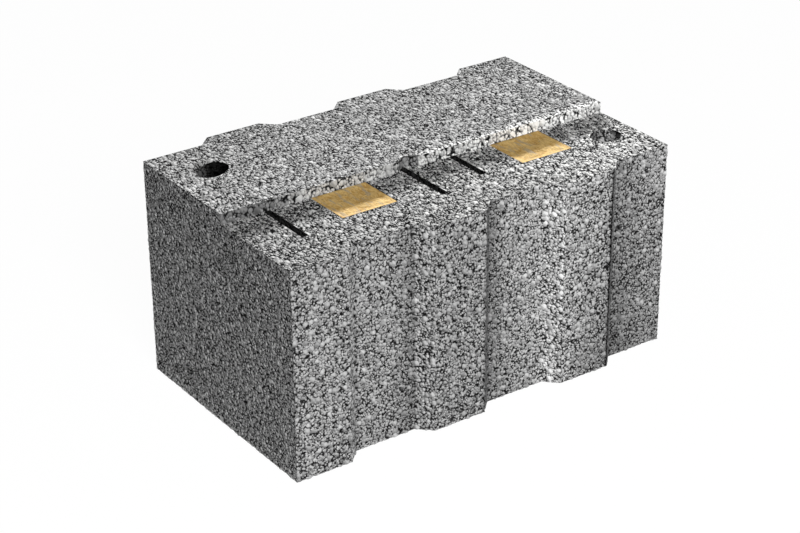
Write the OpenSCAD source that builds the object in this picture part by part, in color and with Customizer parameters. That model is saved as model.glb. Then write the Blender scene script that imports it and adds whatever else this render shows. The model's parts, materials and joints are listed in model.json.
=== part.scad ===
// Lightweight concrete building block with insulated chambers, deck cut away at the front.
// Length runs along X, the tongue-and-groove faces look along Y, the bed joints along Z.
// The outline comes back onto itself when the block is turned half round, and so does the pattern of
// chambers, slots and grips, about a middle of its own.

/* [Block] */
// Length between the two flat ends
block_l = 490; // [480:1:510]
// Width over the tongues of both long faces
block_w = 300; // [290:1:340]
// Height from the lower bed face to the upper one
block_h = 249; // [180:1:300]
// Thickness of the closed deck over the chambers
deck_t = 12; // [10:1:25]
// Distance from the middle of the block rightward to the middle of the pattern of holes
pattern_x = 9; // [0:1:12]

/* [Tongues and grooves] */
// How far a tongue stands out of the grooves beside it
tongue_d = 15; // [5:1:20]
// Width of a full tongue at half its depth
tongue_w = 80; // [72:1:84]
// Length that a sloping flank takes along the block
flank_run = 15; // [5:1:25]
// Side clearance of a tongue in the groove of the next block
joint_gap = 4; // [2:0.5:6]

/* [Cut-away] */
// Distance from the middle plane forward to the cut face of the deck
cut_y = 23; // [10:1:40]
// Distance from the middle leftward to the break-out in the cut face
bite_x = 15; // [0:1:30]
// Width of the break-out along the cut face
bite_w = 28; // [16:1:34]
// Depth of the break-out behind the cut face
bite_d = 7; // [2:0.5:8]

/* [Air slots] */
// Width of an air slot
slot_w = 8; // [5:0.5:10]
// Distance from the pattern's middle to the slot near each end
outer_slot_x = 200; // [185:1:208]
// Length of the slot near each end
outer_slot_l = 120; // [80:1:130]
// Distance that the left end's slot lies forward of the middle plane
outer_slot_shift = 34; // [30:1:40]
// Distance from the pattern's middle to each inner slot
inner_slot_x = 30.5; // [20:0.5:50]
// Length of an inner slot
inner_slot_l = 174; // [120:1:200]
// Distance that the left inner slot lies forward of the middle plane
inner_slot_shift = 8; // [0:1:15]

/* [Insulation] */
// Distance from the pattern's middle to the centre of each insulated chamber
core_x = 114; // [105:1:125]
// Width of an insulated chamber along the block
core_w = 67; // [50:1:75]
// Length of an insulated chamber across the block
core_l = 162; // [120:1:190]
// How far the insulation stops short of the lower bed face
plug_recess = 4; // [0:0.5:20]

/* [Grip pockets] */
// Diameter of a grip pocket
grip_d = 32; // [26:1:36]
// Distance along the block from the pattern's middle to a pocket's mouth
grip_x = 204; // [200:1:210]
// Distance across the block from the middle to a pocket's mouth
grip_y = 77; // [74:1:84]
// Slant of a pocket towards the middle, measured from upright
grip_tilt = 27; // [10:1:35]
// Drop from the deck to the centre of a pocket's round end
grip_drop = 28; // [22:1:40]
// Radius of the dished lead-in at a pocket's outer lip
dish_r = 40; // [35:1:60]
// Depth of the dished lead-in
dish_t = 6; // [2:0.5:8]
// Distance from the pocket's mouth outward to the middle of its lead-in
dish_out = 6; // [0:1:10]

/* [Hidden] */
$fn = 64;

// Overlap that carries a cutting shape clear of the face that it opens
clear = 1;
// Level where the chambers end under the deck
chamber_top = block_h - deck_t;
// A groove takes a tongue with its clearance on both sides
groove_w = tongue_w + 2 * joint_gap;
// The tongue at the left corner takes what the full bays leave
corner_tongue_w = (block_l - 4 * tongue_w - 5 * joint_gap) / 2;
// Bays of the front face from the left corner: tongues and grooves take turns
bay_w = [corner_tongue_w, groove_w, tongue_w, groove_w, tongue_w];
// The round cutter of the break-out has a chord of bite_w at the cut face
bite_r = (bite_w * bite_w / 4 + bite_d * bite_d) / (2 * bite_d);
// Length of a pocket's axis from its mouth to the centre of its round end
grip_axis = grip_drop / cos(grip_tilt);

function bays_before(i) = i < 0 ? 0 : bay_w[i] + bays_before(i - 1);
function flank_x(i) = bays_before(i) - block_l / 2;
function bay_y(i) = -block_w / 2 + (i % 2 == 0 ? 0 : tongue_d);

front_edge = [
    [-block_l / 2, bay_y(0)],
    for (i = [0 : len(bay_w) - 1])
        each [
            [flank_x(i) - flank_run / 2, bay_y(i)],
            [flank_x(i) + flank_run / 2, bay_y(i + 1)]
        ],
    [block_l / 2, bay_y(len(bay_w))]
];
back_edge = [for (p = front_edge) -p];

// Plan of the block: the back is the front turned half round
module outline() {
    polygon(concat(front_edge, back_edge));
}

// What stands left of the pattern's middle, and again where a half turn puts it
module both_ways_round() {
    for (turn = [0, 180])
        translate([pattern_x, 0, 0])
            rotate(turn)
                children();
}

// Chamber of a given plan size, open at the lower bed face and closed by the deck
module chamber(x, y, w, l) {
    translate([x - w / 2, y - l / 2, -clear])
        cube([w, l, chamber_top + clear]);
}

// Slanting finger pocket with a round end and a dished lead-in at its outer lip
module grip_pocket() {
    translate([-grip_x, grip_y, block_h])
        rotate([0, 180 - grip_tilt, 0]) {
            translate([0, 0, -grip_d])
                cylinder(d = grip_d, h = grip_d + grip_axis);
            translate([0, 0, grip_axis])
                sphere(d = grip_d);
        }
    translate([-grip_x - dish_out, grip_y, block_h + dish_r - dish_t])
        sphere(r = dish_r);
}

// Space in front of the cut face, with the half-round break-out behind it
module deck_cut() {
    translate([-block_l / 2 - clear, -block_w / 2 - clear, chamber_top])
        cube([block_l + 2 * clear, block_w / 2 - cut_y + clear, deck_t + clear]);
    translate([-bite_x, bite_d - cut_y - bite_r, chamber_top])
        cylinder(r = bite_r, h = deck_t + clear);
}

// Lightweight concrete body, cast in one piece
module block() {
    color([0.56, 0.56, 0.56])
        difference() {
            linear_extrude(block_h)
                outline();
            both_ways_round() {
                chamber(-outer_slot_x, -outer_slot_shift, slot_w, outer_slot_l);
                chamber(-inner_slot_x, -inner_slot_shift, slot_w, inner_slot_l);
                chamber(-core_x, 0, core_w, core_l);
                grip_pocket();
            }
            deck_cut();
        }
}

// Mineral wool pressed into one chamber, from above the bed face up to the deck
module insulation(x) {
    color([0.86, 0.74, 0.48])
        translate([pattern_x + x - core_w / 2, -core_l / 2, plug_recess])
            cube([core_w, core_l, chamber_top - plug_recess]);
}

module insulation_left() {
    insulation(-core_x);
}

module insulation_right() {
    insulation(core_x);
}

block();
insulation_left();
insulation_right();
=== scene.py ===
# %% [markdown]
# # An insulated concrete block with its deck cut away
#
# The block is one casting of open-grained lightweight concrete. Its long faces have tongues and grooves, air
# slots and two chambers rise from the base to the underside of a thin deck, and the deck is cut away at the
# front, so that the slots and the mineral wool in the chambers show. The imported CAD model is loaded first
# and stays the frame: everything below is in metres, in the CAD's own axes, with X along the block, Y across
# it and Z up.

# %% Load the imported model
import json
from math import radians

import bpy
import bmesh
import numpy as np
from mathutils import Matrix, Quaternion, Vector


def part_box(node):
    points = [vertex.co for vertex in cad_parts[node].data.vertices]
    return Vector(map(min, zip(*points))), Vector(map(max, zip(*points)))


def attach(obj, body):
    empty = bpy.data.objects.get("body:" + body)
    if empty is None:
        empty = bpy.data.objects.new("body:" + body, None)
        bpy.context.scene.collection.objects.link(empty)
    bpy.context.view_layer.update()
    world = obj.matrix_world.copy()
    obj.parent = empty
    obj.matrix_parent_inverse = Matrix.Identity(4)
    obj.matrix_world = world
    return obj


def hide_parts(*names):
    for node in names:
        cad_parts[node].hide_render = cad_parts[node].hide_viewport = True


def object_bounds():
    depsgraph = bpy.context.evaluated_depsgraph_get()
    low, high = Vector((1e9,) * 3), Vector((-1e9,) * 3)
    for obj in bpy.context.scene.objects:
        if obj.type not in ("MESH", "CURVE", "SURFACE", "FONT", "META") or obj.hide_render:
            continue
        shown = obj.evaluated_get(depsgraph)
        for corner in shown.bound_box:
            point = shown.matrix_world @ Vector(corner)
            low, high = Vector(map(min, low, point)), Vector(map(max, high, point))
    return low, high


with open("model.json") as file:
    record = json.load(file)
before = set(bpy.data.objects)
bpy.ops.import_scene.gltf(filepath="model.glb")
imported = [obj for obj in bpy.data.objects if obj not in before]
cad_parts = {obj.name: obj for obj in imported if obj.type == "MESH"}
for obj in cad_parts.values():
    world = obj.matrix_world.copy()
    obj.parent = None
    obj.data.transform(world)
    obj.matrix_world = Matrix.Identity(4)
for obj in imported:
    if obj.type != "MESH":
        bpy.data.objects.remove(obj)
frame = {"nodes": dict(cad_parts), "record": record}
cad_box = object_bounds()
MM = 0.001
print("nodes:", sorted(frame["nodes"]), "box:", cad_box)

# %% [markdown]
# ## Camera
#
# The camera was found by fitting a pinhole camera to the block's corners in the picture. It stands to the
# left of the front face, looks down at 27 degrees, and its long lens keeps the edges almost parallel.

# %% Camera
CAMERA_AT = Vector((-1182.2, -1669.4, 1146.2)) * MM
CAMERA_LOOKS = Vector((0.51176, 0.73034, -0.45244))
CAMERA_ROLL = radians(-0.44)
LENS_MM, SENSOR_MM = 95.07, 36.0
NEAREST, FARTHEST = 0.05, 50.0

camera = bpy.data.objects.new("camera", bpy.data.cameras.new("camera"))
bpy.context.scene.collection.objects.link(camera)
camera.data.lens = LENS_MM
camera.data.sensor_width = SENSOR_MM
camera.data.clip_start = NEAREST
camera.data.clip_end = FARTHEST
camera.location = CAMERA_AT
camera.rotation_mode = "QUATERNION"
roll = Quaternion((0.0, 0.0, 1.0), CAMERA_ROLL)
camera.rotation_quaternion = CAMERA_LOOKS.to_track_quat("-Z", "Y") @ roll
bpy.context.scene.camera = camera
print("camera:", [round(value, 3) for value in camera.location], "lens", LENS_MM, "mm")

# %% [markdown]
# ## Adding nodes
#
# Every material below is a tree of nodes. One small function adds a node, sets its options, and fills its
# inputs: an input that is given a socket is linked to it, and one that is given a value holds that value.
# A second function turns a colour as a painter would write it, an sRGB hex value, into the linear numbers
# that a renderer works in.

# %% Node and colour helpers
def add(tree, kind, settings, inputs):
    made = tree.nodes.new(kind)
    for name, value in settings.items():
        setattr(made, name, value)
    for name, value in inputs.items():
        if isinstance(value, bpy.types.NodeSocket):
            tree.links.new(value, made.inputs[name])
        else:
            made.inputs[name].default_value = value
    return made


def linear(hex_colour):
    parts = [int(hex_colour[i:i + 2], 16) / 255.0 for i in (1, 3, 5)]
    return tuple(c / 12.92 if c <= 0.04045 else ((c + 0.055) / 1.055) ** 2.4 for c in parts) + (1.0,)


def new_material(name):
    material = bpy.data.materials.new(name)
    material.use_nodes = True
    material.node_tree.nodes.clear()
    return material, material.node_tree


print("mid grey #808080 is", [round(c, 3) for c in linear("#808080")], "in linear light")

# %% [markdown]
# ## Floor
#
# The block stands on a plain white floor. One plane would do, but the part under the block needs a finish of
# its own, so a small floor lies there, and the large one is a ring of four faces around it.

# %% Two flat floors
FLOOR_REACH = 6.0
FLOOR_Z = -0.2 * MM
UNDER_INSET_X, UNDER_INSET_Y = 5.0 * MM, 20.0 * MM


def rectangle(half_x, half_y):
    signs = ((-1, -1), (1, -1), (1, 1), (-1, 1))
    return [(along * half_x, across * half_y, FLOOR_Z) for along, across in signs]


def stage_floor(name, points, faces):
    mesh = bpy.data.meshes.new(name)
    mesh.from_pydata(points, [], faces)
    made = bpy.data.objects.new(name, mesh)
    bpy.context.scene.collection.objects.link(made)
    return mesh


under = rectangle(cad_box[1][0] - UNDER_INSET_X, cad_box[1][1] - UNDER_INSET_Y)
under_mesh = stage_floor("floor_under", under, [(0, 1, 2, 3)])
ring = [(i, (i + 1) % 4, 4 + (i + 1) % 4, 4 + i) for i in range(4)]
floor_mesh = stage_floor("floor", rectangle(FLOOR_REACH, FLOOR_REACH) + under, ring)
print("floor under the block reaches to", [round(value, 4) for value in under[2]])

# %% [markdown]
# ## White of the floor
#
# The floor is matt white board. Lit by these lamps alone it would look grey, so to the camera, and in
# anything that mirrors or lets light through, it is nearly white by itself, and only a small share of it
# takes light and shadow. The block keeps a faint shadow on an otherwise clean background. For all other rays
# the floor is plain matt white and throws light back up. From below it is clear, so that the base can be
# seen.

# %% Finish of the large floor
FLOOR_WHITE = "#e6e6e6"
FLOOR_GLOW = 0.97
FLOOR_TAKES = 0.05


def seen_directly(tree):
    ray = add(tree, "ShaderNodeLightPath", {}, {}).outputs
    seen = ray["Is Camera Ray"]
    for kind in ("Is Glossy Ray", "Is Transmission Ray"):
        seen = add(tree, "ShaderNodeMath", {"operation": "MAXIMUM"}, {0: seen, 1: ray[kind]}).outputs[0]
    return seen


def one_sided(tree, shader):
    below = add(tree, "ShaderNodeNewGeometry", {}, {}).outputs["Backfacing"]
    clear = add(tree, "ShaderNodeBsdfTransparent", {}, {})
    mixed = add(tree, "ShaderNodeMixShader", {}, {0: below, 1: shader, 2: clear.outputs[0]})
    add(tree, "ShaderNodeOutputMaterial", {}, {"Surface": mixed.outputs[0]})


board, tree = new_material("matt_white_floor")
matt = add(tree, "ShaderNodeBsdfDiffuse", {}, {"Color": linear(FLOOR_WHITE)})
glow = add(tree, "ShaderNodeEmission", {}, {"Color": linear("#ffffff"), "Strength": FLOOR_GLOW})
thin = add(tree, "ShaderNodeBsdfDiffuse", {}, {"Color": (FLOOR_TAKES, FLOOR_TAKES, FLOOR_TAKES, 1.0)})
pale = add(tree, "ShaderNodeAddShader", {}, {0: glow.outputs[0], 1: thin.outputs[0]})
mixed = add(tree, "ShaderNodeMixShader", {}, {0: seen_directly(tree), 1: matt.outputs[0], 2: pale.outputs[0]})
one_sided(tree, mixed.outputs[0])
floor_mesh.materials.append(board)
print(board.name, "glows at", FLOOR_GLOW, "and takes", FLOOR_TAKES, "of the light")

# %% [markdown]
# ## Floor under the block
#
# Here it is the other way round. To the camera the board is plain matt white, or else the air slots would
# shine from below. For all other rays it gives a weak glow, which lights the base.

# %% Finish of the floor under the block
UNDER_GLOW = 0.35

shaded, tree = new_material("matt_white_under")
matt = add(tree, "ShaderNodeBsdfDiffuse", {}, {"Color": linear(FLOOR_WHITE)})
glow = add(tree, "ShaderNodeEmission", {}, {"Color": linear("#ffffff"), "Strength": UNDER_GLOW})
ray = add(tree, "ShaderNodeLightPath", {}, {})
mixed = add(tree, "ShaderNodeMixShader", {},
            {0: ray.outputs["Is Camera Ray"], 1: glow.outputs[0], 2: matt.outputs[0]})
one_sided(tree, mixed.outputs[0])
under_mesh.materials.append(shaded)
print(shaded.name, "glows at", UNDER_GLOW)

# %% [markdown]
# ## Surround
#
# The room around the block is white. A world of that brightness would drown the lamps, so it is white only
# where it is seen directly and a weak fill light everywhere else.

# %% Surround
SURROUND = 0.10

world = bpy.data.worlds.new("white_surround")
bpy.context.scene.world = world
world.use_nodes = True
tree = world.node_tree
tree.nodes.clear()
level = add(tree, "ShaderNodeMapRange", {}, {"Value": seen_directly(tree), "To Min": SURROUND, "To Max": 1.0})
sky = add(tree, "ShaderNodeBackground", {}, {"Color": linear("#ffffff"), "Strength": level.outputs[0]})
add(tree, "ShaderNodeOutputWorld", {}, {"Surface": sky.outputs[0]})
print("fill from the surround:", SURROUND)

# %% [markdown]
# ## Lamps
#
# A low strip lamp behind the block gives the deck its shadow on the cut-away shelf. A large soft lamp in
# front, right of the camera, lights the long face more than the end, and another one lights the two sides
# that look away. A sun would be simpler, but its shadows are sharp, and area lamps give the soft edges of a
# studio.

# %% Lamps, with places and sizes in mm
LAMPS = {
    "back_strip": {"at": (1100, 2150, 920), "to": (60, -60, 237), "size": (1300, 130), "watts": 222.0},
    "front_softbox": {"at": (-1150, -3300, 2100), "to": (0, -150, 120), "size": (1500, 1200), "watts": 151.0},
    "back_softbox": {"at": (1300, 3200, 1900), "to": (0, 150, 120), "size": (1500, 1200), "watts": 150.0},
}

lamp_holders = {}
for name, lamp in LAMPS.items():
    light = bpy.data.lights.new(name, "AREA")
    light.shape = "RECTANGLE"
    light.size, light.size_y = (side * MM for side in lamp["size"])
    light.energy = lamp["watts"]
    holder = bpy.data.objects.new(name, light)
    bpy.context.scene.collection.objects.link(holder)
    holder.location = Vector(lamp["at"]) * MM
    aim = Vector(lamp["to"]) * MM - holder.location
    holder.rotation_mode = "QUATERNION"
    holder.rotation_quaternion = aim.to_track_quat("-Z", "Y")
    lamp_holders[name] = holder
    print(name, "at", [round(value, 2) for value in holder.location], "gives", lamp["watts"], "W")

# %% [markdown]
# ## The grain of the concrete
#
# Open-grained concrete is rounded grains of several sizes, held at their touching points, with pores between
# them. A Voronoi texture gives the distance from any point to the nearest of many scattered centres. Taking
# that distance from a grain's radius gives how deep a point lies inside a grain, and the deepest of three
# such fields, for coarse, middle and fine grain, is a packing of mixed grains. Some cells are left without a
# grain, which makes the pores. The places are swayed by a noise first, or else every grain would be a ball.
# The same function builds the pattern in a material and in a modifier, so that the colour and the relief
# stay in step.

# %% Sway a pattern
def swayed(tree, where, size, reach):
    sway = add(tree, "ShaderNodeTexNoise", {}, {"Vector": where, "Scale": 1.0 / size, "Detail": 1.0})
    sway = add(tree, "ShaderNodeVectorMath", {"operation": "SUBTRACT"},
               {0: sway.outputs["Color"], 1: (0.5, 0.5, 0.5)})
    sway = add(tree, "ShaderNodeVectorMath", {"operation": "SCALE"},
               {0: sway.outputs[0], "Scale": 2.0 * reach})
    return add(tree, "ShaderNodeVectorMath", {"operation": "ADD"}, {0: where, 1: sway.outputs[0]}).outputs[0]


print("a noise from 0 to 1, less its middle and doubled, sways a place by its reach to either side")

# %% Packed grains
GRAINS = {
    "coarse": {"size": 6.4 * MM, "radius": 0.57, "share": 0.30},
    "middle": {"size": 3.7 * MM, "radius": 0.585, "share": 0.70},
    "fine": {"size": 2.2 * MM, "radius": 0.60, "share": 0.95},
}
WARP_SIZE = 4.0 * MM
WARP_BY = 0.7 * MM
NO_GRAIN = -20.0


def packed_grains(tree, where):
    where = swayed(tree, where, WARP_SIZE, WARP_BY)
    depth, chance = None, None
    for grain in GRAINS.values():
        size_mm = grain["size"] / MM
        cells = add(tree, "ShaderNodeTexVoronoi", {"voronoi_dimensions": "3D", "feature": "F1"},
                    {"Vector": where, "Scale": 1.0 / grain["size"]})
        lot = add(tree, "ShaderNodeSeparateXYZ", {}, {0: cells.outputs["Color"]})
        inside = add(tree, "ShaderNodeMath", {"operation": "MULTIPLY_ADD"},
                     {0: cells.outputs["Distance"], 1: -size_mm, 2: grain["radius"] * size_mm})
        absent = add(tree, "ShaderNodeMath", {"operation": "GREATER_THAN"},
                     {0: lot.outputs[0], 1: grain["share"]})
        inside = add(tree, "ShaderNodeMath", {"operation": "MULTIPLY_ADD"},
                     {0: absent.outputs[0], 1: NO_GRAIN, 2: inside.outputs[0]}).outputs[0]
        if depth is None:
            depth, chance = inside, lot.outputs[1]
            continue
        wins = add(tree, "ShaderNodeMath", {"operation": "GREATER_THAN"}, {0: inside, 1: depth})
        depth = add(tree, "ShaderNodeMath", {"operation": "MAXIMUM"}, {0: inside, 1: depth}).outputs[0]
        chance = add(tree, "ShaderNodeMix", {"data_type": "FLOAT"},
                     {"Factor": wins.outputs[0], "A": chance, "B": lot.outputs[1]}).outputs[0]
    return depth, chance


print("grain sizes in mm:", {name: round(grain["size"] / MM, 2) for name, grain in GRAINS.items()})

# %% [markdown]
# ## Concrete
#
# Lightweight concrete with a sand and cement skin on its grains, cast in a steel mould and stripped at once.
# It is quite matt. The grains that touched the mould are pale and smooth, each a little lighter or darker
# than its neighbours, and the pores between them are almost black, because light that goes in hardly comes
# out. Where the deck was cut, the grains are broken and show their paler inside.
#
# Five attributes of the mesh steer the material: grain_at is the place in the pattern, relief_share says how
# round the grains stand, another says how much of the surface is newly broken and paler, which on the deck,
# the shelf and the cut face also stands for painted light and shade, pores widens or narrows the gaps in mm,
# and tone makes a surface darker or paler as a whole, mostly as painted light and shade. A material for each
# face could do the same, but attributes keep it one concrete, which changes gradually.

# %% Concrete: the pattern and what steers it
concrete, tree = new_material("open_grained_concrete")
steer = {name: add(tree, "ShaderNodeAttribute", {"attribute_name": name}, {}).outputs
         for name in ("grain_at", "fresh_and_lit", "tone", "pores", "relief_share")}
grain_at = steer["grain_at"]["Vector"]
bare_depth, chance = packed_grains(tree, grain_at)
depth = add(tree, "ShaderNodeMath", {"operation": "SUBTRACT"}, {0: bare_depth, 1: steer["pores"]["Fac"]})
depth = depth.outputs[0]
print(concrete.name, "is steered by", sorted(steer))

# %% [markdown]
# ## Light and dark sides of the grains
#
# In the picture each grain has a light and a dark side, more strongly than soft lamps give them on a mesh as
# coarse as this one. A finer mesh would be too heavy, so that shade is drawn into the colour. The pattern is
# read a second time a little further to the right, front and top: where it is deeper there, the point lies on
# the dark side of its grain. This stands for light, not for the colour of the concrete, so under other light
# both sides can be set to 1.

# %% Concrete: light and dark sides
SIDE_SHIFT = Vector((-0.50, 0.42, -0.52)) * MM
SIDE_STEP = 0.45
DARK_SIDE, LIGHT_SIDE = 0.68, 1.17

further = add(tree, "ShaderNodeVectorMath", {"operation": "SUBTRACT"}, {0: grain_at, 1: SIDE_SHIFT})
upper, _ = packed_grains(tree, further.outputs[0])
rise = add(tree, "ShaderNodeMath", {"operation": "SUBTRACT"}, {0: bare_depth, 1: upper})
side = add(tree, "ShaderNodeMapRange", {},
           {"Value": rise.outputs[0], "From Min": -SIDE_STEP, "From Max": SIDE_STEP,
            "To Min": DARK_SIDE, "To Max": LIGHT_SIDE})
tone = add(tree, "ShaderNodeMath", {"operation": "MULTIPLY"}, {0: steer["tone"]["Fac"], 1: side.outputs[0]})
print("the second reading lies", round(SIDE_SHIFT.length / MM, 2), "mm further on")

# %% [markdown]
# ## Colours of grain, paste and pore
#
# Each grain has a grey of its own between dull and pale, by the chance number of its cell. Towards its rim it
# turns into the colour of the paste, and beyond the rim into the black of a pore. Both steps are soft,
# because a hard limit would look like paint. The depths are in mm.

# %% Concrete: colour
PORE = "#1e1e1e"
PASTE, FRESH_PASTE = "#606060", "#8c8c8c"
GRAIN_DULL, GRAIN_PALE = "#808080", "#b8b8b8"
FRESH_DULL, FRESH_PALE = "#b5b5b4", "#f0f0ee"
RIM_DEPTH = 0.7
PORE_DEPTH, FACE_DEPTH = -0.33, 0.40

fresh_and_lit = steer["fresh_and_lit"]["Fac"]
paste = add(tree, "ShaderNodeMix", {"data_type": "RGBA"},
            {"Factor": fresh_and_lit, "A": linear(PASTE), "B": linear(FRESH_PASTE)})
skin = add(tree, "ShaderNodeMix", {"data_type": "RGBA"},
           {"Factor": chance, "A": linear(GRAIN_DULL), "B": linear(GRAIN_PALE)})
split = add(tree, "ShaderNodeMix", {"data_type": "RGBA"},
            {"Factor": chance, "A": linear(FRESH_DULL), "B": linear(FRESH_PALE)})
grain = add(tree, "ShaderNodeMix", {"data_type": "RGBA"},
            {"Factor": fresh_and_lit, "A": skin.outputs[2], "B": split.outputs[2]})
rim = add(tree, "ShaderNodeMapRange", {"interpolation_type": "SMOOTHSTEP"},
          {"Value": depth, "From Min": 0.0, "From Max": RIM_DEPTH})
body = add(tree, "ShaderNodeMix", {"data_type": "RGBA"},
           {"Factor": rim.outputs[0], "A": paste.outputs[2], "B": grain.outputs[2]})
face = add(tree, "ShaderNodeMapRange", {"interpolation_type": "SMOOTHSTEP"},
           {"Value": depth, "From Min": PORE_DEPTH, "From Max": FACE_DEPTH})
colour = add(tree, "ShaderNodeMix", {"data_type": "RGBA"},
             {"Factor": face.outputs[0], "A": linear(PORE), "B": body.outputs[2]})
colour = add(tree, "ShaderNodeVectorMath", {"operation": "SCALE"},
             {0: colour.outputs[2], "Scale": tone.outputs[0]})
print("pores", PORE, "paste", PASTE, "grains", GRAIN_DULL, "to", GRAIN_PALE)

# %% [markdown]
# ## Surface of the concrete
#
# Dry cement paste scatters light and has no gloss, so the surface is rough and its specular level is 0. The
# mesh below carries the relief itself, and a bump on top rounds the grains between the points of the mesh.
# A power below 1 makes the domes of the grains flat and their sides steep.

# %% Concrete: surface
BUMP_LOW, BUMP_HIGH = -0.6, 1.6
BUMP_POWER = 0.7
BUMP_HEIGHT = 1.1 * MM
CONCRETE_ROUGHNESS = 0.95

height = add(tree, "ShaderNodeMapRange", {}, {"Value": depth, "From Min": BUMP_LOW, "From Max": BUMP_HIGH})
height = add(tree, "ShaderNodeMath", {"operation": "POWER"}, {0: height.outputs[0], 1: BUMP_POWER})
bump = add(tree, "ShaderNodeBump", {},
           {"Strength": steer["relief_share"]["Fac"], "Distance": BUMP_HEIGHT, "Height": height.outputs[0]})
surface = add(tree, "ShaderNodeBsdfPrincipled", {},
              {"Base Color": colour.outputs[0], "Roughness": CONCRETE_ROUGHNESS, "Specular IOR Level": 0.0,
               "Normal": bump.outputs[0]})
add(tree, "ShaderNodeOutputMaterial", {}, {"Surface": surface.outputs[0]})
print(concrete.name, "has", len(tree.nodes), "nodes")

# %% [markdown]
# ## An even mesh to press the grain into
#
# The CAD solid has the block's shape but flat faces, each only a few large polygons, and grain needs points
# about a millimetre apart. Subdividing those polygons would give long thin slivers, and a voxel remesh would
# round every edge off. A sharp remesh lays an even grid of small squares over the solid and keeps the edges.
# Both chambers are plugged a little below their mouths first, because the walls behind the wool are never
# seen and would only cost points.

# %% Copy of the block, and plugs for its chambers
MOUTH_DEPTH = 8.0 * MM
PLUG_INTO_WALL = 1.0 * MM
WELD = 0.001 * MM


def mesh_object(name, bm):
    mesh = bpy.data.meshes.new(name)
    bm.to_mesh(mesh)
    bm.free()
    made = bpy.data.objects.new(name, mesh)
    bpy.context.scene.collection.objects.link(made)
    return made


def block_copy():
    bm = bmesh.new()
    bm.from_mesh(frame["nodes"]["block"].data)
    bmesh.ops.remove_doubles(bm, verts=bm.verts, dist=WELD)
    return bm


casting = mesh_object("casting", block_copy())
bm = bmesh.new()
for name in ("insulation_left", "insulation_right"):
    low, high = (Vector(corner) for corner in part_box(name))
    low += Vector((-PLUG_INTO_WALL, -PLUG_INTO_WALL, MOUTH_DEPTH))
    high += Vector((PLUG_INTO_WALL, PLUG_INTO_WALL, -MOUTH_DEPTH))
    made = bmesh.ops.create_cube(bm, size=1.0)
    bmesh.ops.scale(bm, vec=high - low, verts=made["verts"])
    bmesh.ops.translate(bm, vec=(low + high) / 2, verts=made["verts"])
plugs = mesh_object("plugs", bm)
print("casting:", len(casting.data.polygons), "faces, plugs:", len(plugs.data.polygons), "faces")

# %% Join them and lay the even mesh
CELL = 1.27 * MM
CELLS_ACROSS = 512


def apply_modifiers(piece):
    mesh = bpy.data.meshes.new_from_object(piece.evaluated_get(bpy.context.evaluated_depsgraph_get()))
    mesh.name = piece.name
    piece.modifiers.clear()
    piece.data = mesh
    return mesh


union = casting.modifiers.new("plug chambers", "BOOLEAN")
union.operation = "UNION"
union.solver = "EXACT"
union.object = plugs
remesh = casting.modifiers.new("even mesh", "REMESH")
remesh.mode = "SHARP"
remesh.octree_depth = CELLS_ACROSS.bit_length() - 1
remesh.scale = max(casting.dimensions) / (CELL * CELLS_ACROSS)
remesh.sharpness = 1.0
even = apply_modifiers(casting)
even.update()
bpy.data.objects.remove(plugs)
print("even mesh:", len(even.vertices), "points")

# %% [markdown]
# ## The toothed outline
#
# Tongues and grooves run the full height of a long face, so the corners of the base tell where each sloping
# flank lies. The numbers could be copied from the CAD source, but they would be wrong after a change there,
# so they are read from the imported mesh. The corners that lie nearest the front are, from left to right, an
# end, two for each flank, and the other end.

# %% Read the toothed outline
FLAT = 0.3 * MM
NEAR_FRONT = 0.85
DECIMALS = 5

block_low, block_high = (np.array(corner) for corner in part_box("block"))
feet = [point.co for point in frame["nodes"]["block"].data.vertices if point.co.z < block_low[2] + FLAT]
front_edge = sorted({(round(foot.x, DECIMALS), round(foot.y, DECIMALS)) for foot in feet
                     if foot.y < NEAR_FRONT * block_low[1]})
flanks = list(zip(front_edge[1::2], front_edge[2::2]))
flank_places = [(start[0] + stop[0]) / 2 for start, stop in flanks]
flank_run = flanks[0][1][0] - flanks[0][0][0]
groove_depth = flanks[0][1][1] - flanks[0][0][1]
print("flanks at", [round(place / MM, 1) for place in flank_places], "mm, each", round(flank_run / MM, 1),
      "mm long, grooves", round(groove_depth / MM, 1), "mm deep")

# %% [markdown]
# ## One piece to each face
#
# The skin is dealt out into one piece for each face of the block: the two toothed sides, the ends, the deck,
# the shelf, the base, the cut face and the grip pockets. Each piece then stays light and gets a map of its
# own when its finish is baked. A face is known by where it lies and which way it looks, which array sums over
# all the squares at once can tell.

# %% Measure the squares
WALL_MARGIN = 5.0 * MM
GRIP_REACH = 36.0 * MM


def read(data, name, width):
    values = np.empty(len(data) * width, dtype=np.float32)
    data.foreach_get(name, values)
    return values.reshape(-1, width) if width > 1 else values


def near(spots, middle):
    return np.linalg.norm(spots[:, :2] - middle, axis=1) < GRIP_REACH


shelf_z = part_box("insulation_left")[1][2]
deck_z = block_high[2]
inner = block_high[:2] - (WALL_MARGIN, groove_depth + WALL_MARGIN)
openings = frame["record"]["physics"]["openings"]
grip_at = {opening["name"]: np.mean(opening["box_m"], axis=0)[:2] for opening in openings}
centres = read(even.polygons, "center", 3)
normals = read(even.polygons, "normal", 3)
x, y, z = centres.T
within = np.all(np.abs(centres[:, :2]) < inner, axis=1)
print(len(centres), "squares, of which", int(within.sum()), "lie within the outer walls")

# %% Sort the squares by face
GRIP_DEPTH = 60.0 * MM
DISH_DEPTH = 8.0 * MM
DISH_SLOPE = 0.72
CUT_REACH = 60.0 * MM
LOOKS_UP = 0.5
LOOKS_FORWARD = 0.3

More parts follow.
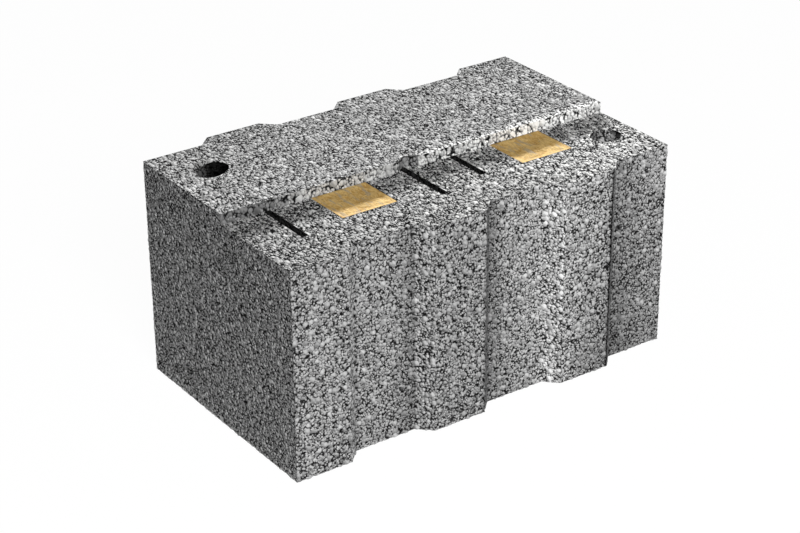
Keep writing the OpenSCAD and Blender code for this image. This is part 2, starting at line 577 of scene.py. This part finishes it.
above_bottoms = z > shelf_z - GRIP_DEPTH
below_deck = (z < deck_z - FLAT) & above_bottoms
below_shelf = (z < shelf_z - FLAT) & above_bottoms
steep_or_deep = (normals[:, 2] < DISH_SLOPE) | (z < deck_z - DISH_DEPTH)
grip_left = within & near(centres, grip_at["grip_left_mouth"]) & below_deck & steep_or_deep
grip_right = within & near(centres, grip_at["grip_right"]) & below_shelf
ceiling_or_lower = (z < shelf_z - FLAT) | (normals[:, 2] < -LOOKS_UP)
inside = within & ceiling_or_lower & (z < shelf_z + FLAT) & (z > block_low[2] + FLAT)
between = (z > shelf_z + FLAT) & (z < deck_z - FLAT)
cut_face = between & (normals[:, 1] < -LOOKS_FORWARD) & (np.abs(y) < CUT_REACH)
deck = (z > deck_z - FLAT) | (within & (z > shelf_z + FLAT))
shelf = (np.abs(z - shelf_z) <= FLAT) & (normals[:, 2] > LOOKS_UP)
base = z < block_low[2] + FLAT
end = np.abs(x) > block_high[0] - FLAT
REGIONS = {"grip_left": grip_left, "grip_right": grip_right, "cores": inside, "cut_face": cut_face,
           "deck": deck, "shelf": shelf, "base": base, "left_end": end & (x < 0), "right_end": end,
           "front": y < 0, "back": y >= 0}
region = np.select(list(REGIONS.values()), range(len(REGIONS)))
print({name: int((region == i).sum()) for i, name in enumerate(REGIONS)})

# %% [markdown]
# ## How much relief each point takes
#
# The open faces take all of the relief. Along the arrises it is less, so that they stay straight, on the
# smoother deck and shelf much less, and at the rims of slots and of the left pocket there is none, so that
# they stay crisp. A point on an arris is found by its normals: the mean of those of the squares around it is
# shorter than 1 where they don't agree.

# %% Relief share
ARRIS_BEND = 0.9
ARRIS_RELIEF = 0.8
LEAST_LENGTH = 0.001
RELIEF_SHARE = {"deck": 0.35, "shelf": 0.4, "grip_right": 0.8}

corners = np.empty(len(even.loops), dtype=np.int32)
even.loops.foreach_get("vertex_index", corners)
quads = corners.reshape(-1, 4)
places = read(even.vertices, "co", 3)
owner = np.repeat(np.arange(len(quads)), 4)
outward = np.stack([np.bincount(corners, weights=normals[owner, axis], minlength=len(places))
                    for axis in range(3)], axis=1)
outward /= np.bincount(corners, minlength=len(places))[:, None]
straight = np.linalg.norm(outward, axis=1)
outward /= np.maximum(straight, LEAST_LENGTH)[:, None]
relief_share = np.where(straight < ARRIS_BEND, ARRIS_RELIEF, 1.0)
for name, share in RELIEF_SHARE.items():
    relief_share[quads[REGIONS[name]]] *= share
relief_share[quads[inside | grip_left]] = 0.0
print("points without relief:", int((relief_share == 0).sum()), "of", len(places))

# %% [markdown]
# ## Tones of the toothed faces
#
# The tongues and grooves aren't evenly pale in the picture. Each flank has its own run of light and dark,
# which the lamps here give only in part, so every flank has a tone for its edge, its slope and its foot, in
# order from the tongue towards the groove, and the widths over which it rises along the tongue and fades in
# the groove. The face is also paler at the upper right and darker at the foot below, so it has a tone for its
# top and one for its foot. The back isn't in the picture and gets the same tones, turned half round as the
# outline is. Such tones could be painted on, but a few curves say the same and are easy to change. They stand
# for the picture's light as much as for the concrete, so under other light they can be set to 1.

# %% Tones along the flanks
FLANKS = [
    {"edge": 1.0, "slope": 0.95, "foot": 0.75, "fade": 5.0 * MM, "rise": 3.5 * MM},
    {"edge": 1.0, "slope": 1.05, "foot": 0.62, "fade": 28.0 * MM, "rise": 3.5 * MM},
    {"edge": 0.8, "slope": 0.42, "foot": 0.60, "fade": 22.0 * MM, "rise": 3.5 * MM},
    {"edge": 1.35, "slope": 1.55, "foot": 1.3, "fade": 60.0 * MM, "rise": 60.0 * MM},
    {"edge": 0.04, "slope": 0.42, "foot": 0.62, "fade": 45.0 * MM, "rise": 3.5 * MM},
]
EDGE_FROM, EDGE_TO = 2.2 * MM, 0.9 * MM
SLOPE_FROM, SLOPE_TO = 0.3 * MM, 0.7 * MM


def on_curve(values, curve):
    return np.interp(values, *zip(*curve))


def flank_tones(along):
    tones = np.ones(len(along))
    half = flank_run / 2
    for i, flank in enumerate(FLANKS):
        past = (along - flank_places[i]) * (1.0 if i % 2 == 0 else -1.0)
        tones *= on_curve(past, [
            (-half - flank["rise"], 1.0),
            (-half - EDGE_FROM, flank["edge"]),
            (-half - EDGE_TO, flank["edge"]),
            (-half + SLOPE_FROM, flank["slope"]),
            (half - SLOPE_TO, flank["slope"]),
            (half, flank["foot"]),
            (half + flank["fade"], 1.0),
        ])
    return tones


print("tones on the middles of the flanks:", np.round(flank_tones(np.array(flank_places)), 2))

# %% Tones of the front and back
TOP_TONES = [(-245.0 * MM, 0.97), (-126.0 * MM, 1.12), (-42.0 * MM, 1.0), (42.0 * MM, 1.17), (86.0 * MM, 1.0),
             (126.0 * MM, 1.22), (245.0 * MM, 1.2)]
FOOT_TONES = [(-245.0 * MM, 1.17), (-126.0 * MM, 1.02), (42.0 * MM, 1.0), (86.0 * MM, 1.05),
              (126.0 * MM, 0.83), (245.0 * MM, 0.92)]
HALF_TURN = np.array((-1.0, -1.0, 1.0), dtype=np.float32)


def no_fresh(spots):
    return np.zeros(len(spots))


def front_shades(spots):
    along = spots[:, 0]
    top, foot = on_curve(along, TOP_TONES), on_curve(along, FOOT_TONES)
    return no_fresh(spots), flank_tones(along) * (foot + (top - foot) * spots[:, 2] / shelf_z)


def back_shades(spots):
    return front_shades(spots * HALF_TURN)


print("tones of the front at the foot:", [tone for _, tone in FOOT_TONES])

# %% [markdown]
# ## Tones of the ends and grip pockets
#
# The ends are a little paler towards the foot. The left pocket gets darker inwards, because little light
# comes back out of it. The right one, which the cut-away lays open, is pale on its right wall and dark at its
# bottom and under its right rim. Lamps alone would light both pockets more evenly, so the tones follow the
# distance along the block, measured from the middle of a pocket's opening.

# %% Tones of the ends and grip pockets
END_TONES = [(block_low[2], 1.06), (shelf_z, 0.92)]
GRIP_TONES = [(-17.0 * MM, 0.30), (2.0 * MM, 0.03)]
POCKET_TONES = [(2.0 * MM, 0.38), (6.0 * MM, 0.5), (9.0 * MM, 1.0), (18.5 * MM, 1.1), (21.0 * MM, 0.3),
                (22.5 * MM, 0.05)]


def end_shades(spots):
    return no_fresh(spots), on_curve(spots[:, 2], END_TONES)


def left_grip_shades(spots):
    return no_fresh(spots), on_curve(spots[:, 0] - grip_at["grip_left_mouth"][0], GRIP_TONES)


def right_grip_shades(spots):
    return no_fresh(spots), on_curve(spots[:, 0] - grip_at["grip_right"][0], POCKET_TONES)


pocket_x = {name: round(float(at[0]) / MM, 1) for name, at in grip_at.items() if "grip" in name}
print("pocket openings at x in mm:", pocket_x)

# %% [markdown]
# ## Tones of the deck, the shelf and the cut face
#
# The cut face shows pale, freshly broken grains, but it is duller and darker at its left end and in its
# break-out, which is painted shade, and paler towards its right end, which is painted light. The shelf,
# broken as well, gets paler towards its right end, and most of all at its right front, which is painted
# light. Right of the break-out the edge of the deck is pale on top as well, broken grains with a painted
# highlight. The whole deck gets a share of pale grains, which is painted light on its top, and the dished
# lead-in of the left pocket gets darker as it goes down, which is painted shade. Each of these is a curve
# along the block, across it or down, or the product of two such curves, and was set by comparing renders with
# the picture.

# %% Tones of the deck
# The whole deck gets a share of pale broken grains, which is painted light on its top.
DECK_PAINTED_LIGHT = 0.24
DECK_TONES = [(-20.0 * MM, 1.09), (50.0 * MM, 1.05), (150.0 * MM, 0.88)]
# The dished lead-in gets darker as it goes down, which is painted shade.
DISH_SHADE_TONES = [(0.3 * MM, 1.0), (1.0 * MM, 1.15), (2.2 * MM, 0.95), (5.0 * MM, 0.38)]
# Right of the break-out the deck's edge is paler on top: broken grains with a painted highlight.
LIT_EDGE_X = [(-40.0 * MM, 0.0), (30.0 * MM, 1.0)]
LIT_EDGE_Y = [(0.0, 1.0), (13.0 * MM, 0.0)]
LIT_EDGE_TONE = 1.35

cut_y = np.median(y[cut_face])


def deck_shades(spots):
    lit_edge = on_curve(spots[:, 0], LIT_EDGE_X) * on_curve(spots[:, 1] - cut_y, LIT_EDGE_Y)
    tone = on_curve(deck_z - spots[:, 2], DISH_SHADE_TONES) * on_curve(spots[:, 1], DECK_TONES)
    tone *= 1.0 + (LIT_EDGE_TONE - 1.0) * lit_edge
    return DECK_PAINTED_LIGHT + (1.0 - DECK_PAINTED_LIGHT) * lit_edge, tone


print("cut face at y", round(float(cut_y) / MM, 1), "mm")

# %% Tones of the shelf and the cut face
# The shelf's broken grains grow paler to the right, and its right front is paler still; both are painted
# light.
SHELF_FRESH_AND_LIGHT = [(block_low[0], 0.35), (block_high[0], 0.86)]
SHELF_LIGHT_X = [(60.0 * MM, 0.0), (130.0 * MM, 1.0), (190.0 * MM, 1.0), (235.0 * MM, 0.3)]
SHELF_LIGHT_Y = [(-80.0 * MM, 1.0), (-50.0 * MM, 0.0)]
SHELF_LIGHT_TONE = 1.13
# The cut face is painted darker at its left end and in its break-out, and paler towards its right end.
CUT_SHADE_TONE = 0.6
CUT_FRESH_AND_SHADE = [(-185.0 * MM, 0.0), (-150.0 * MM, 1.0)]
CUT_LIGHT_AND_SHADE = [(-185.0 * MM, CUT_SHADE_TONE), (-150.0 * MM, 0.78), (-70.0 * MM, 0.85), (-35.0 * MM, 0.66),
             (5.0 * MM, 0.98), (50.0 * MM, 1.04), (170.0 * MM, 1.33)]
BITE_BEHIND = 2.0 * MM


def shelf_shades(spots):
    light_pool = on_curve(spots[:, 0], SHELF_LIGHT_X) * on_curve(spots[:, 1], SHELF_LIGHT_Y)
    return on_curve(spots[:, 0], SHELF_FRESH_AND_LIGHT), 1.0 + (SHELF_LIGHT_TONE - 1.0) * light_pool


def cut_shades(spots):
    fresh_and_lit = on_curve(spots[:, 0], CUT_FRESH_AND_SHADE)
    fresh_and_lit[spots[:, 1] > cut_y + BITE_BEHIND] = 0.0
    return fresh_and_lit, np.where(fresh_and_lit > 0.0, on_curve(spots[:, 0], CUT_LIGHT_AND_SHADE), CUT_SHADE_TONE)


def base_shades(spots):
    return no_fresh(spots), np.ones(len(spots))


SHADES = {"grip_left": left_grip_shades, "grip_right": right_grip_shades, "cut_face": cut_shades,
          "deck": deck_shades, "shelf": shelf_shades, "base": base_shades, "left_end": end_shades,
          "right_end": end_shades, "front": front_shades, "back": back_shades}
print("faces with tones of their own:", sorted(SHADES))

# %% [markdown]
# ## Pressing the grain in
#
# Geometry nodes read the pattern at each point and press the point inwards where there is a pore, so the
# relief is real and catches the light at a low angle. A bump alone would leave the outline straight. The
# depths in the pattern at which the dip starts and ends are in mm, as in the material.

# %% Press modifier
RELIEF = 1.8 * MM
DIP_LOW, DIP_HIGH = -0.7, 1.7


def moving_group(name):
    group = bpy.data.node_groups.new(name, "GeometryNodeTree")
    for way in ("INPUT", "OUTPUT"):
        group.interface.new_socket("Geometry", in_out=way, socket_type="NodeSocketGeometry")
    return group


def move_points(group, direction, amount):
    start = add(group, "NodeGroupInput", {}, {})
    push = add(group, "ShaderNodeVectorMath", {"operation": "SCALE"}, {0: direction, "Scale": amount})
    moved = add(group, "GeometryNodeSetPosition", {},
                {"Geometry": start.outputs[0], "Offset": push.outputs[0]})
    add(group, "NodeGroupOutput", {}, {0: moved.outputs[0]})


press = moving_group("press_grain")
spot, out = (add(press, "GeometryNodeInputNamedAttribute", {"data_type": "FLOAT_VECTOR"}, {"Name": name})
             for name in ("grain_at", "outward"))
share, pores = (add(press, "GeometryNodeInputNamedAttribute", {"data_type": "FLOAT"}, {"Name": name})
                for name in ("relief_share", "pores"))
depth, _ = packed_grains(press, spot.outputs[0])
depth = add(press, "ShaderNodeMath", {"operation": "SUBTRACT"}, {0: depth, 1: pores.outputs[0]})
dip = add(press, "ShaderNodeMapRange", {},
          {"Value": depth.outputs[0], "From Min": DIP_LOW, "From Max": DIP_HIGH,
           "To Min": -RELIEF, "To Max": 0.0})
dip = add(press, "ShaderNodeMath", {"operation": "MULTIPLY"}, {0: dip.outputs[0], 1: share.outputs[0]})
move_points(press, out.outputs[0], dip.outputs[0])
print(press.name, "has", len(press.nodes), "nodes")

# %% [markdown]
# ## Pieces of the skin
#
# Each piece gets its squares, its attributes and the press. On the deck and the shelf the grain looks drawn
# out a little across the block, and on the cut face it looks coarser and drawn out upwards, so there the
# pattern is read at stretched places. Pieces that are nearly flat get a flat map for the bake, which a
# rectangle fills without gaps.

# %% Values on points, and the concrete on a piece
def store(mesh, name, values):
    kind, field = ("FLOAT", "value") if values.ndim == 1 else ("FLOAT_VECTOR", "vector")
    attribute = mesh.attributes.new(name, kind, "POINT")
    attribute.data.foreach_set(field, np.ascontiguousarray(values, dtype=np.float32).ravel())


def concrete_piece(piece):
    piece.data.materials.clear()
    piece.data.materials.append(concrete)
    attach(piece, "root")
    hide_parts("block")


print("every concrete piece rides on the root, and together they replace the block")

# %% Cut the skin into pieces
GRAIN_SCALE = {"deck": (1.35, 0.85, 1.0), "shelf": (1.3, 0.8, 1.0), "cut_face": (0.75, 0.75, 0.66)}
PORES = {"deck": 0.14, "shelf": 0.22, "cut_face": -0.12, "grip_right": 0.15}
FLAT_MAP = {"front": (0, 2), "back": (0, 2), "left_end": (1, 2), "right_end": (1, 2), "deck": (0, 1),
            "shelf": (0, 1), "base": (0, 1), "cut_face": (0, 2)}

skin_pieces = {}
summed, meetings = np.zeros_like(places), np.zeros(len(places))
for index, name in enumerate(REGIONS):
    if name == "cores":
        continue
    used, local = np.unique(quads[region == index], return_inverse=True)
    local = local.reshape(-1, 4)
    spots = places[used]
    mesh = bpy.data.meshes.new("block_" + name)
    mesh.from_pydata(spots, [], local)
    fresh_and_lit, tone = SHADES[name](spots)
    store(mesh, "grain_at", spots * GRAIN_SCALE.get(name, (1.0, 1.0, 1.0)))
    store(mesh, "outward", outward[used])
    store(mesh, "relief_share", relief_share[used])
    store(mesh, "pores", np.full(len(used), PORES.get(name, 0.0)))
    store(mesh, "fresh_and_lit", fresh_and_lit)
    store(mesh, "tone", tone)
    if name in FLAT_MAP:
        spread = spots[:, FLAT_MAP[name]]
        spread = (spread - spread.min(axis=0)) / np.ptp(spread, axis=0)
        mesh.uv_layers.new(name="OFBake").data.foreach_set("uv", spread[local.ravel()].ravel())
    piece = bpy.data.objects.new("block_" + name, mesh)
    bpy.context.scene.collection.objects.link(piece)
    piece.modifiers.new("press grain", "NODES").node_group = press
    summed[used] += read(apply_modifiers(piece).vertices, "co", 3)
    meetings[used] += 1
    skin_pieces[piece] = used
    print(piece.name, "tones", round(float(tone.min()), 2), "to", round(float(tone.max()), 2))
bpy.data.objects.remove(casting)

# %% [markdown]
# ## Closing the seams
#
# Two pieces that meet share a row of points, and each has pressed them by its own stretch of the pattern.
# Joining the pieces would close the seam but lose their maps, so the shared points take the mean of both
# places instead.

# %% Close the seams and finish the pieces
triangles = 0
for piece, used in skin_pieces.items():
    closed = summed[used] / meetings[used][:, None]
    piece.data.vertices.foreach_set("co", closed.astype(np.float32).ravel())
    piece.data.attributes.remove(piece.data.attributes["outward"])
    piece.data.shade_smooth()
    piece.data.update()
    concrete_piece(piece)
    triangles += 2 * len(piece.data.polygons)
    print(piece.name, 2 * len(piece.data.polygons), "triangles")
print("all of the pressed skin:", triangles, "triangles")

# %% [markdown]
# ## Walls of the slots and chambers
#
# The walls inside are too dark and too deep for grain to show, so they are the CAD's own large polygons, cut
# out of a copy of the block and given the same concrete at a very dark tone, which is painted shade.

# %% Walls straight from the CAD
WALL_SHADE_TONE = 0.10

bm = block_copy()
bm.normal_update()
outer = []
for f in bm.faces:
    c = f.calc_center_median()
    in_plan = abs(c.x) < inner[0] and abs(c.y) < inner[1]
    wall = block_low[2] + FLAT < c.z < shelf_z - FLAT
    ceiling = abs(c.z - shelf_z) < FLAT and f.normal.z < -LOOKS_UP
    away = min((Vector(grip_at[name]) - c.xy).length for name in ("grip_left_mouth", "grip_right"))
    if not (in_plan and (wall or ceiling) and away > GRIP_REACH):
        outer.append(f)
bmesh.ops.delete(bm, geom=outer, context="FACES")
walls = mesh_object("block_cores", bm)
spots = read(walls.data.vertices, "co", 3)
store(walls.data, "grain_at", spots)
store(walls.data, "tone", np.full(len(spots), WALL_SHADE_TONE))
concrete_piece(walls)
print(walls.name, len(walls.data.polygons), "faces")

# %% [markdown]
# ## Mineral wool
#
# The chambers hold slabs of mineral wool: glass or stone fibres laid in thin layers with a yellow-brown
# binder, sawn to size. The sawn end is matt and fibrous. Its fibres lie mostly across the block, in clumps
# that are golden where the binder is thick, greyish where it is thin, with a few dark specks of unspun melt.
# Hair strands could draw each fibre, but the exported model needs a mesh. A noise that is stretched along the
# fibres gives their run, and a second noise sways them, because straight lines would look like brushed metal.
# Real fibres are far too fine to show here, so the pattern draws bundles of them.

# %% Fibre pattern
FIBRE = 1.2 * MM
FIBRE_STRETCH = 0.16
SWAY_SIZE = 16.0 * MM
SWAY_BY = 5.0 * MM
CLUMP = 11.0 * MM


def laid_fibres(tree, where):
    bent = swayed(tree, where, SWAY_SIZE, SWAY_BY)
    run = add(tree, "ShaderNodeVectorMath", {"operation": "MULTIPLY"},
              {0: bent, 1: (1.0, FIBRE_STRETCH, 1.0)})
    fibre = add(tree, "ShaderNodeTexNoise", {},
                {"Vector": run.outputs[0], "Scale": 1.0 / FIBRE, "Detail": 3.0, "Roughness": 0.6})
    clump = add(tree, "ShaderNodeTexNoise", {},
                {"Vector": bent, "Scale": 1.0 / CLUMP, "Detail": 2.0, "Roughness": 0.5})
    return fibre.outputs[0], clump.outputs[0]


print("fibre bundles", FIBRE / MM, "mm wide, clumps", CLUMP / MM, "mm")

# %% Mineral wool: binder, thick and thin
WOOL_PALE, WOOL_DEEP, WOOL_THIN = "#dfc07f", "#b48b48", "#a99b84"
CLUMPS_IN_COLOUR = 0.35
RICH_FROM, RICH_TO = 0.34, 0.66
SMEAR = 6.0 * MM
SMEAR_STRETCH = 0.22
THIN_FROM, THIN_TO, THIN_MOST = 0.52, 0.62, 0.75

wool, tree = new_material("sawn_mineral_wool")
spot = add(tree, "ShaderNodeTexCoord", {}, {}).outputs["Object"]
fibre, clump = laid_fibres(tree, spot)
mixed = add(tree, "ShaderNodeMix", {"data_type": "FLOAT"},
            {"Factor": CLUMPS_IN_COLOUR, "A": fibre, "B": clump})
rich = add(tree, "ShaderNodeMapRange", {"interpolation_type": "SMOOTHSTEP"},
           {"Value": mixed.outputs[0], "From Min": RICH_FROM, "From Max": RICH_TO})
colour = add(tree, "ShaderNodeMix", {"data_type": "RGBA"},
             {"Factor": rich.outputs[0], "A": linear(WOOL_DEEP), "B": linear(WOOL_PALE)})
smear = add(tree, "ShaderNodeVectorMath", {"operation": "MULTIPLY"}, {0: spot, 1: (1.0, SMEAR_STRETCH, 1.0)})
patch = add(tree, "ShaderNodeTexNoise", {},
            {"Vector": smear.outputs[0], "Scale": 1.0 / SMEAR, "Detail": 4.0, "Roughness": 0.65})
patch = add(tree, "ShaderNodeMapRange", {"interpolation_type": "SMOOTHSTEP"},
            {"Value": patch.outputs[0], "From Min": THIN_FROM, "From Max": THIN_TO, "To Max": THIN_MOST})
colour = add(tree, "ShaderNodeMix", {"data_type": "RGBA"},
             {"Factor": patch.outputs[0], "A": colour.outputs[2], "B": linear(WOOL_THIN)})
print(wool.name, "runs from", WOOL_DEEP, "to", WOOL_PALE, "and thins to", WOOL_THIN)

# %% Mineral wool: specks and surface
WOOL_SPECK = "#6f624e"
SPECK_SPACING = 5.5 * MM
SPECK_FROM, SPECK_TO, SPECK_MOST = 0.08, 0.18, 0.7
WOOL_BUMP_SHARE = 0.6
WOOL_BUMP_HEIGHT = 0.8 * MM
WOOL_ROUGHNESS = 0.95
WOOL_SPECULAR = 0.15

cells = add(tree, "ShaderNodeTexVoronoi", {"voronoi_dimensions": "3D", "feature": "F1"},
            {"Vector": spot, "Scale": 1.0 / SPECK_SPACING})
speck = add(tree, "ShaderNodeMapRange", {"interpolation_type": "SMOOTHSTEP"},
            {"Value": cells.outputs["Distance"], "From Min": SPECK_FROM, "From Max": SPECK_TO,
             "To Min": SPECK_MOST, "To Max": 0.0})
colour = add(tree, "ShaderNodeMix", {"data_type": "RGBA"},
             {"Factor": speck.outputs[0], "A": colour.outputs[2], "B": linear(WOOL_SPECK)})
bump = add(tree, "ShaderNodeBump", {},
           {"Strength": WOOL_BUMP_SHARE, "Distance": WOOL_BUMP_HEIGHT, "Height": fibre})
surface = add(tree, "ShaderNodeBsdfPrincipled", {},
              {"Base Color": colour.outputs[2], "Roughness": WOOL_ROUGHNESS,
               "Specular IOR Level": WOOL_SPECULAR, "Normal": bump.outputs[0]})
add(tree, "ShaderNodeOutputMaterial", {}, {"Surface": surface.outputs[0]})
print(wool.name, "has", len(tree.nodes), "nodes")

# %% [markdown]
# ## Wool slabs
#
# A slab is a block of wool pressed into its chamber. At its ends the fibres lie at uneven heights. Along the
# edges they keep their full height, or else a dark gap would show beside the wall. Only the two ends ever
# show, so these are fine grids that the fibre pattern combs down, and the sides between them are single long
# faces.

# %% Comb modifier
COMBED = 1.6 * MM
CLUMPS_IN_RELIEF = 0.6
SINK_FROM, SINK_TO = 0.3, 0.7

comb = moving_group("comb_fibres")
spot = add(comb, "GeometryNodeInputPosition", {}, {})
out = add(comb, "GeometryNodeInputNormal", {}, {})
held = add(comb, "GeometryNodeInputNamedAttribute", {"data_type": "FLOAT"}, {"Name": "comb_share"})
fibre, clump = laid_fibres(comb, spot.outputs[0])
mixed = add(comb, "ShaderNodeMix", {"data_type": "FLOAT"},
            {"Factor": CLUMPS_IN_RELIEF, "A": fibre, "B": clump})
sink = add(comb, "ShaderNodeMapRange", {},
           {"Value": mixed.outputs[0], "From Min": SINK_FROM, "From Max": SINK_TO,
            "To Min": -COMBED, "To Max": 0.0})
sink = add(comb, "ShaderNodeMath", {"operation": "MULTIPLY"}, {0: sink.outputs[0], 1: held.outputs[0]})
move_points(comb, out.outputs[0], sink.outputs[0])
print(comb.name, "has", len(comb.nodes), "nodes")

# %% Two slabs
SLAB_GAP = 0.2 * MM
SLAB_CELL = 1.0 * MM
EDGE_HELD = 5.0 * MM

slabs = []
for name in ("insulation_left", "insulation_right"):
    low, high = (Vector(corner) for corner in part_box(name))
    low += Vector((SLAB_GAP, SLAB_GAP, SLAB_GAP))
    high -= Vector((SLAB_GAP, SLAB_GAP, SLAB_GAP))
    size, middle = high - low, (low + high) / 2
    across, along = (round(side / SLAB_CELL) for side in size.xy)
    bm = bmesh.new()
    for level, turn in ((high.z, 1.0), (low.z, -1.0)):
        place = Matrix.LocRotScale((middle.x, middle.y, level), None, (size.x / 2, turn * size.y / 2, turn))
        bmesh.ops.create_grid(bm, x_segments=across, y_segments=along, size=1.0, matrix=place)
    bmesh.ops.bridge_loops(bm, edges=[edge for edge in bm.edges if edge.is_boundary])
    bmesh.ops.recalc_face_normals(bm, faces=bm.faces)
    slab = mesh_object(name + "_slab", bm)
    spots = read(slab.data.vertices, "co", 3)[:, :2]
    from_edge = np.minimum(spots - np.array(low.xy), np.array(high.xy) - spots).min(axis=1)
    store(slab.data, "comb_share", np.clip(from_edge / EDGE_HELD, 0.0, 1.0))
    slab.modifiers.new("comb fibres", "NODES").node_group = comb
    apply_modifiers(slab)
    slab.data.shade_smooth()
    slab.data.materials.append(wool)
    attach(slab, "root")
    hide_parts(name)
    slabs.append(slab)
    print(slab.name, len(slab.data.polygons), "faces")

# %% [markdown]
# ## Flags in front of the lamps
#
# The strip lamp stands so low that it would bleach the back of the block and the floor behind it. In a studio
# a black card, called a flag, is held into the light where it isn't wanted. Light linking does the same here:
# a lamp with a collection of receivers lights only those. The strip lights all pieces of the skin and the
# wool apart from the back and the right end, and the soft lamp behind lights only these two.

# %% Which lamp lights which pieces
away = [piece for piece in skin_pieces if piece.name in ("block_back", "block_right_end")]
others = [piece for piece in list(skin_pieces) + slabs if piece not in away]
for name, pieces in (("back_strip", others), ("back_softbox", away)):
    receivers = bpy.data.collections.new("lit by " + name)
    for piece in pieces:
        receivers.objects.link(piece)
    lamp_holders[name].light_linking.receiver_collection = receivers
    print(name, "lights", [piece.name for piece in pieces])

# %% [markdown]
# ## Finish
#
# Colours are shown through the Standard view transform.

# %% Finish
bpy.context.scene.view_settings.view_transform = "Standard"
